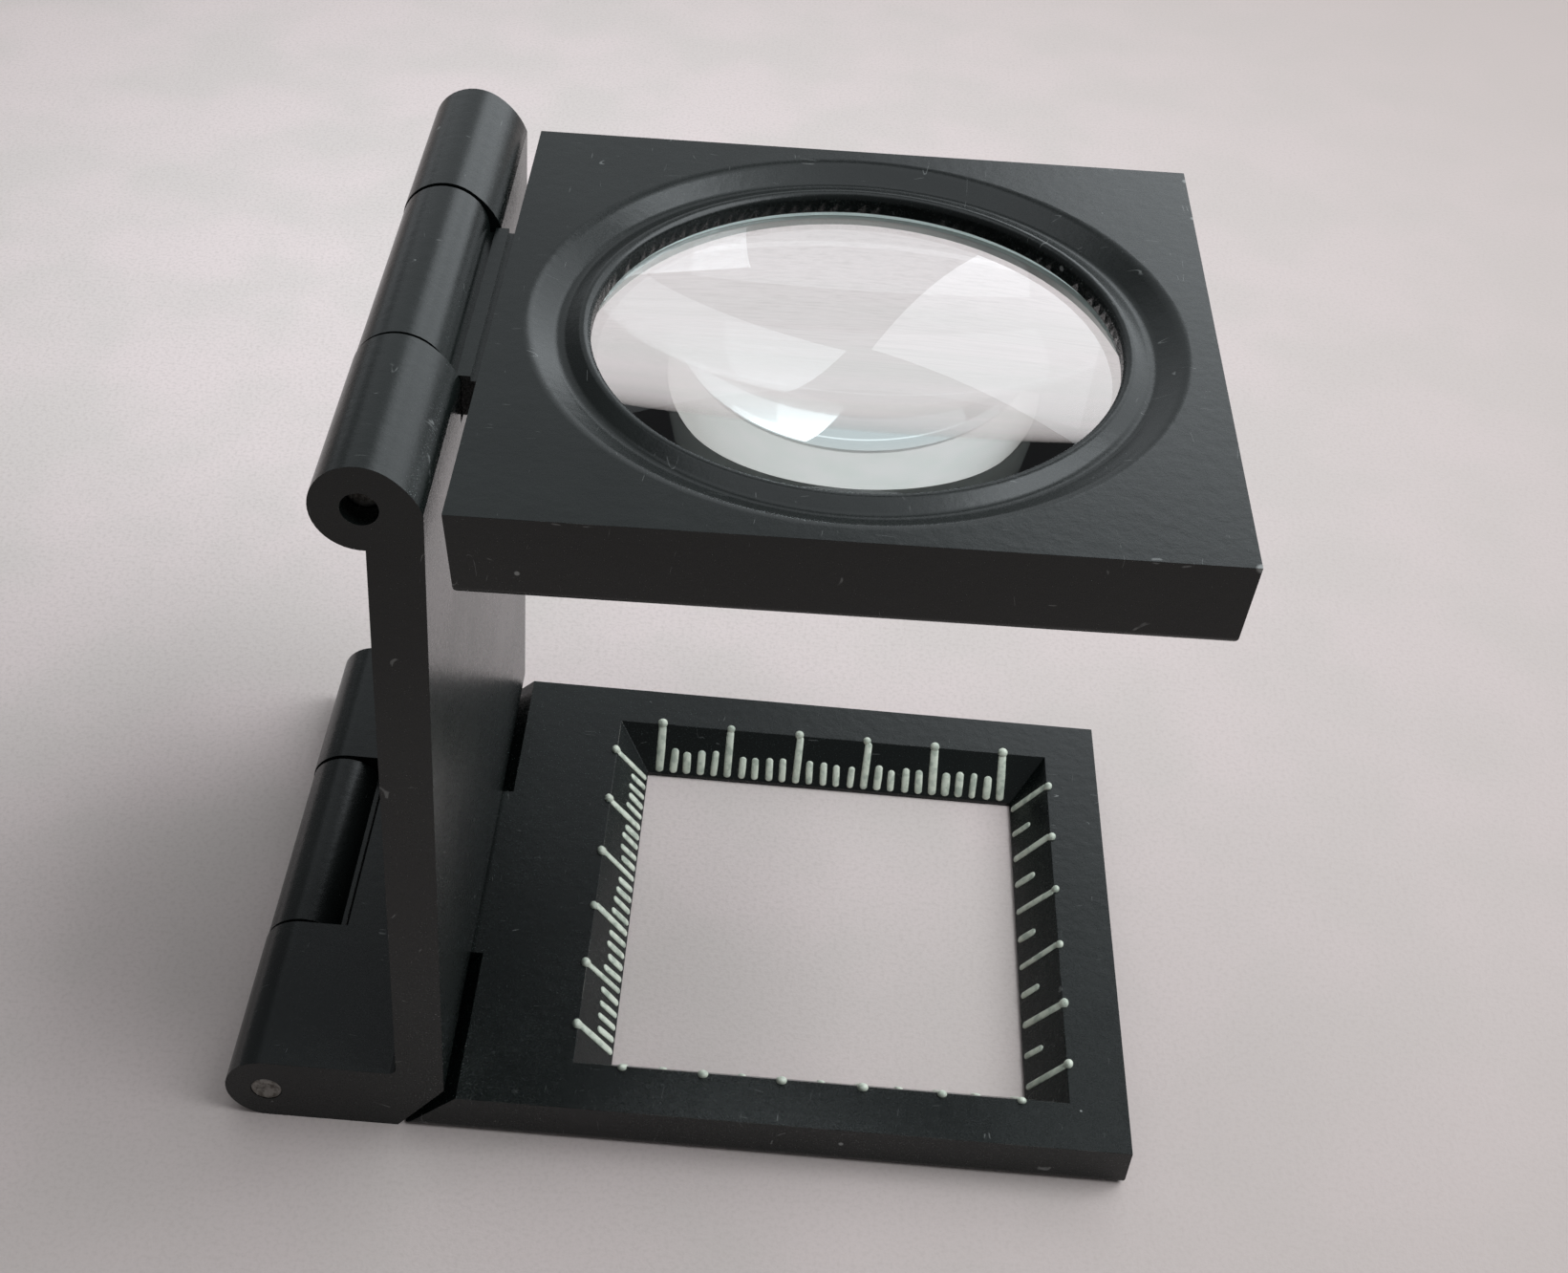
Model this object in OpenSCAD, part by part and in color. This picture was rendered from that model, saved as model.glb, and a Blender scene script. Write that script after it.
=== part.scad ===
// Folding stand magnifier for counting threads and grains: a base with a scaled
// window, an upright and a lens plate, hinged so that both plates fold round
// the outside of the upright. Sizes in millimetres.
// X runs along the plates towards their free ends, Y along the hinge pins, Z up.
// The origin is the centre of the bounding box, on the surface it stands on.

/* [Leaves] */
// Width of the base, upright and lens plate, along the hinge pins
leaf_w = 38; // [36:0.5:50]
// Length of the base, from its hinged end to its free end
base_len = 41.6; // [40:0.2:60]
// Thickness of the base
base_t = 3.1; // [2.6:0.1:3.6]
// Thickness of the upright
upright_t = 2.85; // [2.6:0.05:4]
// Length of the lens plate, from its hinged end to its free end
lens_plate_len = 39; // [37:0.2:56]
// Thickness of the lens plate
lens_plate_t = 5.1; // [4.4:0.1:6.2]
// Angle past square at which the lens plate stops, in degrees
lens_tilt = 1.7; // [0:0.1:3]
// Inward slope of the lens plate's sides over its thickness
plate_draft = 0.25; // [0:0.05:0.4]
// Rounding along the lower edges of both plates
edge_round = 0.5; // [0.2:0.1:0.8]

/* [Window and scale] */
// Side of the clear square window in the base
window = 26.6; // [26:0.2:28]
// Run of the bevel round the window
window_bevel = 2.25; // [1.6:0.05:2.6]
// Height of the upright lip below the bevel
window_lip = 0.3; // [0.1:0.05:0.6]
// Width of the rim between the bevel and the base's free end
base_rim = 3.7; // [2.5:0.1:8]
// Length of each scale
scale_len = 25; // [20:5:25]
// Step between the long marks
long_step = 5; // [5:5:5]
// Step between the marks of the two fine scales
fine_step = 1; // [1:1:1]
// Step between the marks of the two coarse scales
coarse_step = 2.5; // [2.5:2.5:2.5]
// Width of a mark
mark_w = 0.5; // [0.3:0.05:0.6]
// Diameter of the dot at the top of a long mark
dot_d = 0.7; // [0.4:0.05:0.8]
// How far a mark's enamel stands proud of the bevel
mark_t = 0.12; // [0.06:0.02:0.2]
// Length of a short mark as a share of the bevel
short_share = 0.48; // [0.3:0.02:0.7]

/* [Hinges] */
// Radius of the knuckles of both hinges
knuckle_r = 2.5; // [2.1:0.1:3]
// Length of the middle knuckle of each hinge
knuckle_w = 14.8; // [10:0.2:20]
// Gap at each end of a middle knuckle
knuckle_gap = 0.25; // [0.1:0.05:0.4]
// How much smaller the middle knuckles are than the outer ones, in radius
knuckle_step = 0.05; // [0:0.05:0.3]
// Radius of both hinge pins
pin_r = 0.95; // [0.7:0.05:1.2]
// Radial running clearance of the middle knuckles on their pins
pin_clear = 0.05; // [0.02:0.01:0.1]
// Depth of the upper pin's ends below the barrel's ends
upper_pin_recess = 1.4; // [0:0.1:3]
// Radius of the crown that leads from the upper barrel to the upright's inner face
crown_r = 4.2; // [3.8:0.1:6]
// Gap between leaves that lie against each other when folded
fold_gap = 0.2; // [0.15:0.05:0.5]
// Gap between the folded lens plate's end and the foot
fold_end_gap = 0.2; // [0.15:0.05:1]
// Gap between the upright and the end of the base
base_end_gap = 0.7; // [0.4:0.05:1.2]
// Gap between the upright and the end of the lens plate
lens_end_gap = 0.85; // [0.5:0.05:1.5]
// Width of the raised stop beside the lower middle knuckle, from the pin's axis
stop_x = 2.5; // [2:0.1:2.6]
// Height of that stop above the pin's axis
stop_z = 1.1; // [1:0.1:1.8]
// Gap between the base's tongue and the upright over it
tongue_gap = 0.2; // [0.1:0.05:0.4]
// Run of the bevel under the upright's inner foot
toe_run = 2.9; // [1.5:0.1:3.4]
// Height of that bevel
toe_rise = 3.75; // [3.4:0.05:5]
// Gap between that bevel and the base's toe, along X
toe_gap = 0.35; // [0.3:0.05:0.8]
// Fillet between the foot and the upright
foot_fillet = 0.5; // [0.2:0.1:1]

/* [Lens] */
// Diameter of the lens
lens_d = 30; // [24:0.5:30]
// Thickness of the lens at its edge
lens_edge_t = 1.7; // [0.8:0.1:2]
// Depth of the lens's crowns below the faces of the plate
lens_crown_gap = 0.1; // [0.05:0.05:0.6]
// Width of the lip that the lens seats against
seat_lip = 0.6; // [0.4:0.1:1]
// Radial clearance round the lens
lens_clear = 0.05; // [0.03:0.01:0.1]
// Clearance between the lens and the lip or ring that holds it
seat_clear = 0.02; // [0.01:0.01:0.05]
// Width of the dished groove, from the lip's edge to its outer edge
groove_run = 3.3; // [2.4:0.1:3.4]
// Depth of the dished groove
groove_depth = 0.8; // [0.4:0.05:1]
// Depth of the lip's crest below the plate
lip_drop = 0.35; // [0.1:0.05:0.5]
// Radius of the lip's rounded crest
crest_round = 0.45; // [0.3:0.05:0.6]
// Radius of the groove's rounded floor
floor_round = 0.8; // [0.3:0.1:1]
// Radius of the groove's rounded outer edge
rim_round = 1.4; // [0.2:0.1:2]
// Width of the retaining ring's thread outside the lens
ring_lap = 0.7; // [0.5:0.1:1]
// How far the retaining ring reaches in over the lens
ring_cover = 0.5; // [0.3:0.1:1.5]
// Depth of the retaining ring below the plate's lower face
ring_recess = 0.3; // [0.1:0.05:0.6]
// Width of each of the ring's two spanner slots
slot_w = 1.2; // [0.8:0.1:2]
// Depth of each spanner slot
slot_depth = 0.7; // [0.4:0.1:0.9]

/* [Hidden] */
$fn = 96;
over = 1;            // how far a cut runs past the face that it opens
arc_steps = 6;       // points along a rounded edge
sphere_fn = 360;     // facets of the large spheres that shape the lens

paint = [0.13, 0.14, 0.15];
steel = [0.62, 0.61, 0.58];
enamel = [0.86, 0.87, 0.78];
clear_glass = [0.85, 0.93, 0.92, 0.4];

middle_r = knuckle_r - knuckle_step;

// places along X, from the lower hinge to the free end of the base
lower_pin_back = 2 * fold_gap + lens_plate_t + knuckle_r;
overall_len = knuckle_r + lower_pin_back + upright_t + base_end_gap + base_len;
lower_pin_x = knuckle_r - overall_len / 2;
outer_x = lower_pin_x + lower_pin_back;
inner_x = outer_x + upright_t;
upper_pin_x = outer_x - fold_gap;
base_x0 = inner_x + base_end_gap;
base_x1 = base_x0 + base_len;
plate_x0 = inner_x + lens_end_gap;
plate_x1 = plate_x0 + lens_plate_len;
toe_x = inner_x - toe_run + toe_gap;

// heights
foot_h = 2 * knuckle_r;
lower_pin_z = knuckle_r;
upper_pin_z = foot_h + fold_end_gap + plate_x1 - upper_pin_x;

// window and scale
window_x = base_x1 - base_rim - window_bevel - window / 2;
bevel_rise = base_t - window_lip;
bevel_len = norm([window_bevel, bevel_rise]);
bevel_angle = atan2(bevel_rise, window_bevel);

// lens, measured down from the plate's upper face
lens_x = (plate_x0 + plate_x1) / 2;
lens_r = lens_d / 2;
lens_sag = (lens_plate_t - 2 * lens_crown_gap - lens_edge_t) / 2;
lens_curve_r = (pow(lens_r, 2) + pow(lens_sag, 2)) / (2 * lens_sag);
lip_r = lens_r - seat_lip;
seat_z = -lens_crown_gap - sag(lip_r) + seat_clear;
ring_r = lens_r + ring_lap;
ring_in_r = lens_r - ring_cover;
ring_z0 = -lens_plate_t + ring_recess;
ring_z1 = -lens_plate_t + lens_crown_gap + sag(ring_in_r) - seat_clear;

// section of the dished groove: a straight wall, a round floor, a straight flank
// and a round crest, each tangent to the next; heights are below the plate's face
groove_r = lip_r + groove_run;
valley_r = lip_r + groove_run / 2;
crest_r = lip_r + crest_round;
crest_z = -lip_drop - crest_round;
flank_run = valley_r - crest_r;
flank_fall = groove_depth - lip_drop;
widest_floor = (pow(flank_run, 2) + pow(crest_round - flank_fall, 2) - pow(crest_round, 2))
    / (2 * flank_fall);
valley_round = min(floor_round, widest_floor);
valley_z = valley_round - groove_depth;
wall_slope = slope_past(groove_run / 2, valley_z, valley_round);
rim_run = rim_round * tan(wall_slope / 2);
flank_slope = slope_past(flank_run, valley_z - crest_z, valley_round + crest_round);

// how far a lens surface falls from its crown at radius r
function sag(r) = lens_curve_r - sqrt(pow(lens_curve_r, 2) - pow(r, 2));

// points along an arc from angle a0 to a1
function arc(cx, cy, r, a0, a1) =
    [for (i = [0:arc_steps]) let (a = a0 + (a1 - a0) * i / arc_steps) [cx + r * cos(a), cy + r * sin(a)]];

// angle at which a round of radius r at the origin passes into a wider one of
// radius wide that ends at the point (reach, 0)
function crown_start(r, wide, reach) =
    acos(min(1, (2 * r * wide - pow(r, 2) - pow(reach, 2)) / (2 * reach * (wide - r))));

// downward slope of a line that passes a circle of radius r whose centre is run along and rise up
function slope_past(run, rise, r) = asin(min(1, r / norm([run, rise]))) - atan2(rise, run);

// extrudes a profile drawn in X and Z, centred on Y
module along_y(w) {
    rotate([90, 0, 0]) linear_extrude(w, center = true) children();
}

// extrudes a profile drawn in Y and Z, from x0 to x1
module along_x(x0, x1) {
    translate([x0, 0, 0]) rotate([90, 0, 90]) linear_extrude(x1 - x0) children();
}

// a round bar along Y
module bar_y(x, z, r, w) {
    translate([x, 0, z]) rotate([90, 0, 0]) cylinder(r = r, h = w, center = true);
}

// a block between two corners in X and Z, centred on Y
module slab(x0, x1, z0, z1, w) {
    translate([x0, -w / 2, z0]) cube([x1 - x0, w, z1 - z0]);
}

// section of a plate across its width, with drafted sides and round lower edges
module cross_section(w, z0, z1, draft) {
    half = w / 2 - draft - edge_round;
    polygon(concat(
        [[-w / 2, z1]],
        arc(-half, z0 + edge_round, edge_round, 180, 270),
        arc(half, z0 + edge_round, edge_round, 270, 360),
        [[w / 2, z1]]
    ));
}

// the lens plate's place: turned by the stop angle about the upper pin
module on_lens_plate() {
    translate([upper_pin_x, 0, upper_pin_z]) rotate([0, -lens_tilt, 0])
        translate([-upper_pin_x, 0, 0]) children();
}

// ---- upright ----

module upright_profile() {
    reach = inner_x - upper_pin_x;
    start = crown_start(knuckle_r, crown_r, reach);
    back = knuckle_r - crown_r;
    crown_x = back * cos(start);
    crown_z = back * sin(start);
    polygon(concat(
        [
            [lower_pin_x, 0],
            [inner_x - toe_run, 0],
            [inner_x, toe_rise]
        ],
        arc(upper_pin_x + crown_x, upper_pin_z + crown_z, crown_r, atan2(-crown_z, reach - crown_x), start),
        [
            [upper_pin_x, upper_pin_z],
            [outer_x, upper_pin_z - fold_gap]
        ],
        arc(outer_x - foot_fillet, foot_h + foot_fillet, foot_fillet, 0, -90),
        [[lower_pin_x, foot_h]]
    ));
}

module upright() {
    notch_w = knuckle_w + 2 * knuckle_gap;
    stop_reach = norm([stop_x, stop_z]) + fold_gap;
    color(paint) difference() {
        union() {
            along_y(leaf_w) upright_profile();
            bar_y(upper_pin_x, upper_pin_z, knuckle_r, leaf_w);
            bar_y(lower_pin_x, lower_pin_z, knuckle_r, leaf_w);
        }
        // room for the lens plate's knuckle and web
        slab(upper_pin_x - knuckle_r - over, inner_x + over,
            upper_pin_z - knuckle_r - knuckle_gap, upper_pin_z + knuckle_r + over, notch_w);
        // room for the base's knuckle and for the tongue under the foot
        slab(lower_pin_x - knuckle_r - over, lower_pin_x + stop_reach, -over, foot_h + over, notch_w);
        slab(lower_pin_x, inner_x + over, -over, base_t + tongue_gap, notch_w);
        bar_y(upper_pin_x, upper_pin_z, pin_r, leaf_w + over);
        bar_y(lower_pin_x, lower_pin_z, pin_r, leaf_w + over);
    }
}

module upper_hinge_pin() {
    color(steel) bar_y(upper_pin_x, upper_pin_z, pin_r, leaf_w - 2 * upper_pin_recess);
}

module lower_hinge_pin() {
    color(steel) bar_y(lower_pin_x, lower_pin_z, pin_r, leaf_w);
}

// ---- base ----

module base_profile() {
    polygon(concat(
        [[base_x0, base_t], [toe_x, 0]],
        arc(base_x1 - edge_round, edge_round, edge_round, 270, 360),
        [[base_x1, base_t]]
    ));
}

// the window's opening: straight through the lip, then bevelled on four sides
module window_section() {
    half = window / 2;
    top = half + window_bevel * (bevel_rise + over) / bevel_rise;
    polygon([
        [-half, -over], [half, -over], [half, window_lip],
        [top, base_t + over], [-top, base_t + over], [-half, window_lip]
    ]);
}

module base_frame() {
    half = window / 2 + 2 * window_bevel + over;
    color(paint) difference() {
        union() {
            intersection() {
                along_y(leaf_w) base_profile();
                along_x(toe_x - over, base_x1 + over) cross_section(leaf_w, 0, base_t, 0);
            }
            slab(lower_pin_x, base_x0 + over, 0, base_t, knuckle_w);
            slab(lower_pin_x, lower_pin_x + stop_x, 0, lower_pin_z + stop_z, knuckle_w);
            bar_y(lower_pin_x, lower_pin_z, middle_r, knuckle_w);
        }
        intersection() {
            translate([window_x, 0, 0]) along_y(2 * half) window_section();
            along_x(window_x - half, window_x + half) window_section();
        }
        bar_y(lower_pin_x, lower_pin_z, pin_r + pin_clear, leaf_w);
    }
}

// one scale on the bevel that faces inwards from direction turn
module scale_marks(turn, step) {
    dot_y = window / 2 + window_bevel + mark_w / 2;
    color(enamel) translate([window_x, 0, 0]) rotate([0, 0, turn])
        for (i = [0:round(scale_len / step)]) {
            s = i * step - scale_len / 2;
            is_long = abs(i * step / long_step - round(i * step / long_step)) < 0.01;
            run = is_long ? bevel_len : short_share * bevel_len;
            translate([s, window / 2, window_lip]) rotate([bevel_angle, 0, 0])
                translate([-mark_w / 2, 0, 0]) cube([mark_w, run, mark_t]);
            if (is_long)
                translate([s, dot_y, base_t]) cylinder(d = dot_d, h = mark_t);
        }
}

module scale_marks_far() { scale_marks(0, fine_step); }
module scale_marks_left() { scale_marks(90, fine_step); }
module scale_marks_near() { scale_marks(180, coarse_step); }
module scale_marks_right() { scale_marks(270, coarse_step); }

// ---- lens plate ----

module lens_plate_profile() {
    x0 = plate_x0 + plate_draft + edge_round;
    x1 = plate_x1 - plate_draft - edge_round;
    low = edge_round - lens_plate_t;
    polygon(concat(
        [[plate_x0, 0]],
        arc(x0, low, edge_round, 180, 270),
        arc(x1, low, edge_round, 270, 360),
        [[plate_x1, 0]]
    ));
}

// what is turned out of the plate: the dished groove, the lip's bore and the seats
module lens_opening() {
    translate([lens_x, 0, 0]) rotate_extrude() polygon(concat(
        [
            [0, over],
            [groove_r + rim_run, over]
        ],
        arc(groove_r + rim_run, -rim_round, rim_round, 90, 90 + wall_slope),
        arc(valley_r, valley_z, valley_round, 270 + wall_slope, 270 - flank_slope),
        arc(crest_r, crest_z, crest_round, 90 - flank_slope, 180),
        [
            [lip_r, seat_z],
            [lens_r + lens_clear, seat_z],
            [lens_r + lens_clear, ring_z1 + ring_recess],
            [ring_r, ring_z1 + ring_recess],
            [ring_r, -lens_plate_t - over],
            [0, -lens_plate_t - over]
        ]
    ));
}

module lens_frame() {
    seam_w = 0.35;    // grooves along both edges of the web
    seam_depth = 0.3;
    color(paint) on_lens_plate() difference() {
        union() {
            intersection() {
                along_y(leaf_w) lens_plate_profile();
                along_x(plate_x0, plate_x1) cross_section(leaf_w, -lens_plate_t, 0, plate_draft);
            }
            slab(upper_pin_x, plate_x0 + over, -middle_r, 0, knuckle_w);
            bar_y(upper_pin_x, 0, middle_r, knuckle_w);
        }
        lens_opening();
        slab(plate_x0 - seam_w, plate_x0, -seam_depth, over, knuckle_w + over);
        slab(upper_pin_x + middle_r, upper_pin_x + middle_r + seam_w, -seam_depth, over, knuckle_w + over);
        bar_y(upper_pin_x, 0, pin_r + pin_clear, leaf_w);
    }
}

module lens() {
    color(clear_glass) on_lens_plate() translate([lens_x, 0, 0]) intersection() {
        translate([0, 0, -lens_crown_gap - lens_curve_r]) sphere(lens_curve_r, $fn = sphere_fn);
        translate([0, 0, lens_crown_gap + lens_curve_r - lens_plate_t])
            sphere(lens_curve_r, $fn = sphere_fn);
        translate([0, 0, -lens_plate_t]) cylinder(r = lens_r, h = lens_plate_t);
    }
}

module lens_retaining_ring() {
    color(steel) on_lens_plate() translate([lens_x, 0, 0]) difference() {
        rotate_extrude() polygon([
            [ring_in_r, ring_z0],
            [ring_r - seat_clear, ring_z0],
            [ring_r - seat_clear, ring_z1],
            [ring_in_r, ring_z1]
        ]);
        translate([-ring_r - over, -slot_w / 2, ring_z0 - over])
            cube([2 * (ring_r + over), slot_w, slot_depth + over]);
    }
}

upright();
upper_hinge_pin();
lower_hinge_pin();
base_frame();
scale_marks_far();
scale_marks_near();
scale_marks_left();
scale_marks_right();
lens_frame();
lens();
lens_retaining_ring();
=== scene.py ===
"""Looks of a folding stand magnifier: painted castings, enamelled scale, hinge pins and lens.

Lengths in the classes below are in millimetres, and the meshes are in metres.
"""

import logging
import math
import random
from collections.abc import Iterable
from dataclasses import dataclass, field
from enum import Enum

import bmesh
import bpy
from mathutils import Matrix, Vector

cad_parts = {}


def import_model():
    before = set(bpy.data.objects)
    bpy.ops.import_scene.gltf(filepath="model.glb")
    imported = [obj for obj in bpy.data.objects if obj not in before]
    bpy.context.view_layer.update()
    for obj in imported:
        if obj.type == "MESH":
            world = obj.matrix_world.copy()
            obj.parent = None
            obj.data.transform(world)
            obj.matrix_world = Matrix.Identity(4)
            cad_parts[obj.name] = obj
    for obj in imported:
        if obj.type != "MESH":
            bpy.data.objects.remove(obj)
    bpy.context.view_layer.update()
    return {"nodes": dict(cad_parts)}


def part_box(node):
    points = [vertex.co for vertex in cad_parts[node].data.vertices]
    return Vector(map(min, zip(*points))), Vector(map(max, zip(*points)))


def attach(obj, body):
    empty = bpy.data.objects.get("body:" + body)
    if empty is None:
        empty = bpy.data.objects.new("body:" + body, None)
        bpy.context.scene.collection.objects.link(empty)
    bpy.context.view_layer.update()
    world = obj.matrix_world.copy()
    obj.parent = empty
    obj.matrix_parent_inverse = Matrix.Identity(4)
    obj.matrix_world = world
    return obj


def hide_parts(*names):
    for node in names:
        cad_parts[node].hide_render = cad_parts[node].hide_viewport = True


LOG = logging.getLogger("magnifier")
# One millimetre, in metres.
MM = 0.001
# Per-point amount of edge wear, and of the painted highlight lines on the web's and the tongue's
# edges.
WEAR_AND_HIGHLIGHT_LAYER = "edge_wear_and_highlight"
GROUND_LAYER = "ground_edge"

# A spot fades from its radius times the first number to its radius times the second.
SPOT_FADE = (1.3, 0.7)

Colour = tuple[float, float, float]
# Three numbers along X, Y and Z.
Triple = tuple[float, float, float]
# The two ends of a range.
Span = tuple[float, float]
Number = "float | Wire"


class Side(Enum):
    """A side of the window, as the turn about Z that brings the far side to it, in degrees."""

    FAR = 0
    LEFT = 90
    NEAR = 180
    RIGHT = 270


class Grade(Enum):
    """How closely a scale is divided: the step between its marks, in millimetres."""

    FINE = 1.0
    COARSE = 2.5


# ---- shader writing ----


class Wire:
    """A socket of a shader tree that Python's arithmetic signs work on."""

    def __init__(self, sheet: "Sheet", socket: bpy.types.NodeSocket) -> None:
        """Wraps one output socket of a sheet."""
        self.sheet = sheet
        self.socket = socket

    def _math(self, operation: str, first: Number, second: Number) -> "Wire":
        """Adds a Math node on two values and returns its result."""
        made = self.sheet.node(
            "ShaderNodeMath", {"operation": operation}, {0: first, 1: second}
        )
        return Wire(self.sheet, made.outputs[0])

    def __add__(self, other: Number) -> "Wire":
        """The sum of two values."""
        return self._math("ADD", self, other)

    def __radd__(self, other: Number) -> "Wire":
        """The sum of a number and this value."""
        return self._math("ADD", other, self)

    def __sub__(self, other: Number) -> "Wire":
        """This value less another."""
        return self._math("SUBTRACT", self, other)

    def __rsub__(self, other: Number) -> "Wire":
        """A number less this value."""
        return self._math("SUBTRACT", other, self)

    def __mul__(self, other: Number) -> "Wire":
        """The product of two values."""
        return self._math("MULTIPLY", self, other)

    def __rmul__(self, other: Number) -> "Wire":
        """The product of a number and this value."""
        return self._math("MULTIPLY", other, self)

    def at_most(self, other: Number) -> "Wire":
        """The smaller of two values."""
        return self._math("MINIMUM", self, other)

    def at_least(self, other: Number) -> "Wire":
        """The larger of two values."""
        return self._math("MAXIMUM", self, other)

    def between(self, low: float, high: float) -> "Wire":
        """0 below low, 1 above high, with a smooth step from one to the other.

        Args:
            low: The value where the step starts.
            high: The value where the step ends; below low, the step falls.

        Returns:
            A value from 0 to 1.
        """
        made = self.sheet.node(
            "ShaderNodeMapRange",
            {"interpolation_type": "SMOOTHSTEP", "clamp": True},
            {"Value": self, "From Min": low, "From Max": high},
        )
        return Wire(self.sheet, made.outputs["Result"])


class Sheet:
    """One material's node tree, with the few textures that this object's finishes use."""

    def __init__(self, name: str) -> None:
        """Starts an empty material of that name."""
        self.material = bpy.data.materials.new(name)
        self.material.use_nodes = True
        self.tree = self.material.node_tree
        self.tree.nodes.clear()
        self.output = self.node("ShaderNodeOutputMaterial")

    def node(
        self,
        kind: str,
        settings: dict[str, object] | None = None,
        inputs: dict[str | int, object] | None = None,
    ) -> bpy.types.Node:
        """Adds a node, sets its options, then fills or links its sockets.

        Args:
            kind: The node's type.
            settings: The node's own options, by attribute name.
            inputs: Values, sockets or wires for the node's inputs, by name or number.

        Returns:
            The new node.
        """
        made = self.tree.nodes.new(kind)
        for key, value in (settings or {}).items():
            setattr(made, key, value)
        for key, value in (inputs or {}).items():
            if isinstance(value, Wire):
                self.tree.links.new(value.socket, made.inputs[key])
            elif isinstance(value, bpy.types.NodeSocket):
                self.tree.links.new(value, made.inputs[key])
            else:
                made.inputs[key].default_value = value
        return made

    def place(self, stretch: Triple = (1.0, 1.0, 1.0), shift: Triple = (0.0, 0.0, 0.0)) -> Wire:
        """Object coordinates, stretched and then moved.

        Args:
            stretch: A factor for each axis.
            shift: A move along each axis, in metres.

        Returns:
            The coordinates as a vector.
        """
        coordinates = self.node("ShaderNodeTexCoord")
        mapping = self.node(
            "ShaderNodeMapping",
            {"vector_type": "POINT"},
            {"Vector": coordinates.outputs["Object"], "Scale": stretch, "Location": shift},
        )
        return Wire(self, mapping.outputs["Vector"])

    def noise(self, grain: float, place: Wire, detail: float = 2.0, rough: float = 0.5) -> Wire:
        """Soft random cloud.

        Args:
            grain: The size of its blobs, in millimetres.
            place: The coordinates that it is drawn on.
            detail: How many finer layers it has.
            rough: How strong the finer layers are.

        Returns:
            A value about 0.5.
        """
        made = self.node(
            "ShaderNodeTexNoise",
            {"noise_dimensions": "3D"},
            {"Vector": place, "Scale": 1 / (grain * MM), "Detail": detail, "Roughness": rough},
        )
        return Wire(self, made.outputs["Fac"])

    def specks(self, spacing: float, radius: float, share: float, place: Wire) -> Wire:
        """Small round spots at random places.

        Args:
            spacing: The mean distance between the places, in millimetres.
            radius: The radius of a spot, in millimetres.
            share: The share of the places that have one.
            place: The coordinates that they are drawn on.

        Returns:
            1 in a spot and 0 outside.
        """
        cells = self.node(
            "ShaderNodeTexVoronoi",
            {"feature": "F1", "distance": "EUCLIDEAN"},
            {"Vector": place, "Scale": 1 / (spacing * MM)},
        )
        draw = self.node("ShaderNodeSeparateColor", {}, {0: cells.outputs["Color"]})
        limit = 1 - share
        chosen = Wire(self, draw.outputs[0]).between(limit - 0.01, limit + 0.01)
        return chosen * self.spot(Wire(self, cells.outputs["Distance"]), radius / spacing)

    @staticmethod
    def spot(distance: Wire, radius: float) -> Wire:
        """A round spot with a soft edge, from the distance to its middle."""
        outer, inner = SPOT_FADE
        return distance.between(outer * radius, inner * radius)

    def distance(self, centre: Triple, place: Wire) -> Wire:
        """The distance from a point given in millimetres, in metres."""
        made = self.node(
            "ShaderNodeVectorMath",
            {"operation": "DISTANCE"},
            {0: place, 1: tuple(c * MM for c in centre)},
        )
        return Wire(self, made.outputs["Value"])

    def attribute(self, name: str) -> Wire:
        """A value stored on the mesh's points."""
        made = self.node("ShaderNodeAttribute", {"attribute_name": name})
        return Wire(self, made.outputs["Fac"])

    def blend(self, share: Number, first: Colour | Wire, second: Colour | Wire) -> Wire:
        """A mix of two colours.

        Args:
            share: The second colour's share, from 0 to 1.
            first: The colour where the share is 0.
            second: The colour where the share is 1.

        Returns:
            The mixed colour.
        """
        colours = [c if isinstance(c, Wire) else (*c, 1.0) for c in (first, second)]
        made = self.node(
            "ShaderNodeMix",
            {"data_type": "RGBA", "blend_type": "MIX", "clamp_factor": True},
            {0: share, 6: colours[0], 7: colours[1]},
        )
        return Wire(self, made.outputs[2])

    def relief(self, height: Wire, depth: float, under: Wire | None = None) -> Wire:
        """A bumped normal.

        Args:
            height: The pattern of the relief.
            depth: Its depth, in millimetres.
            under: A normal that it is laid on, if any.

        Returns:
            The new normal.
        """
        inputs: dict[str | int, object] = {"Height": height, "Distance": depth * MM, "Strength": 1.0}
        if under is not None:
            inputs["Normal"] = under
        made = self.node("ShaderNodeBump", {}, inputs)
        return Wire(self, made.outputs["Normal"])

    def shader(self, inputs: dict[str | int, object]) -> bpy.types.NodeSocket:
        """A Principled shader of those inputs."""
        return self.node("ShaderNodeBsdfPrincipled", {}, inputs).outputs[0]

    def finished(self, surface: bpy.types.NodeSocket) -> bpy.types.Material:
        """Ends the tree with that surface and returns the material."""
        self.tree.links.new(surface, self.output.inputs["Surface"])
        return self.material

    def surface(self, inputs: dict[str | int, object]) -> bpy.types.Material:
        """Ends the tree with one Principled shader and returns the material."""
        return self.finished(self.shader(inputs))


# ---- finishes ----


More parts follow.
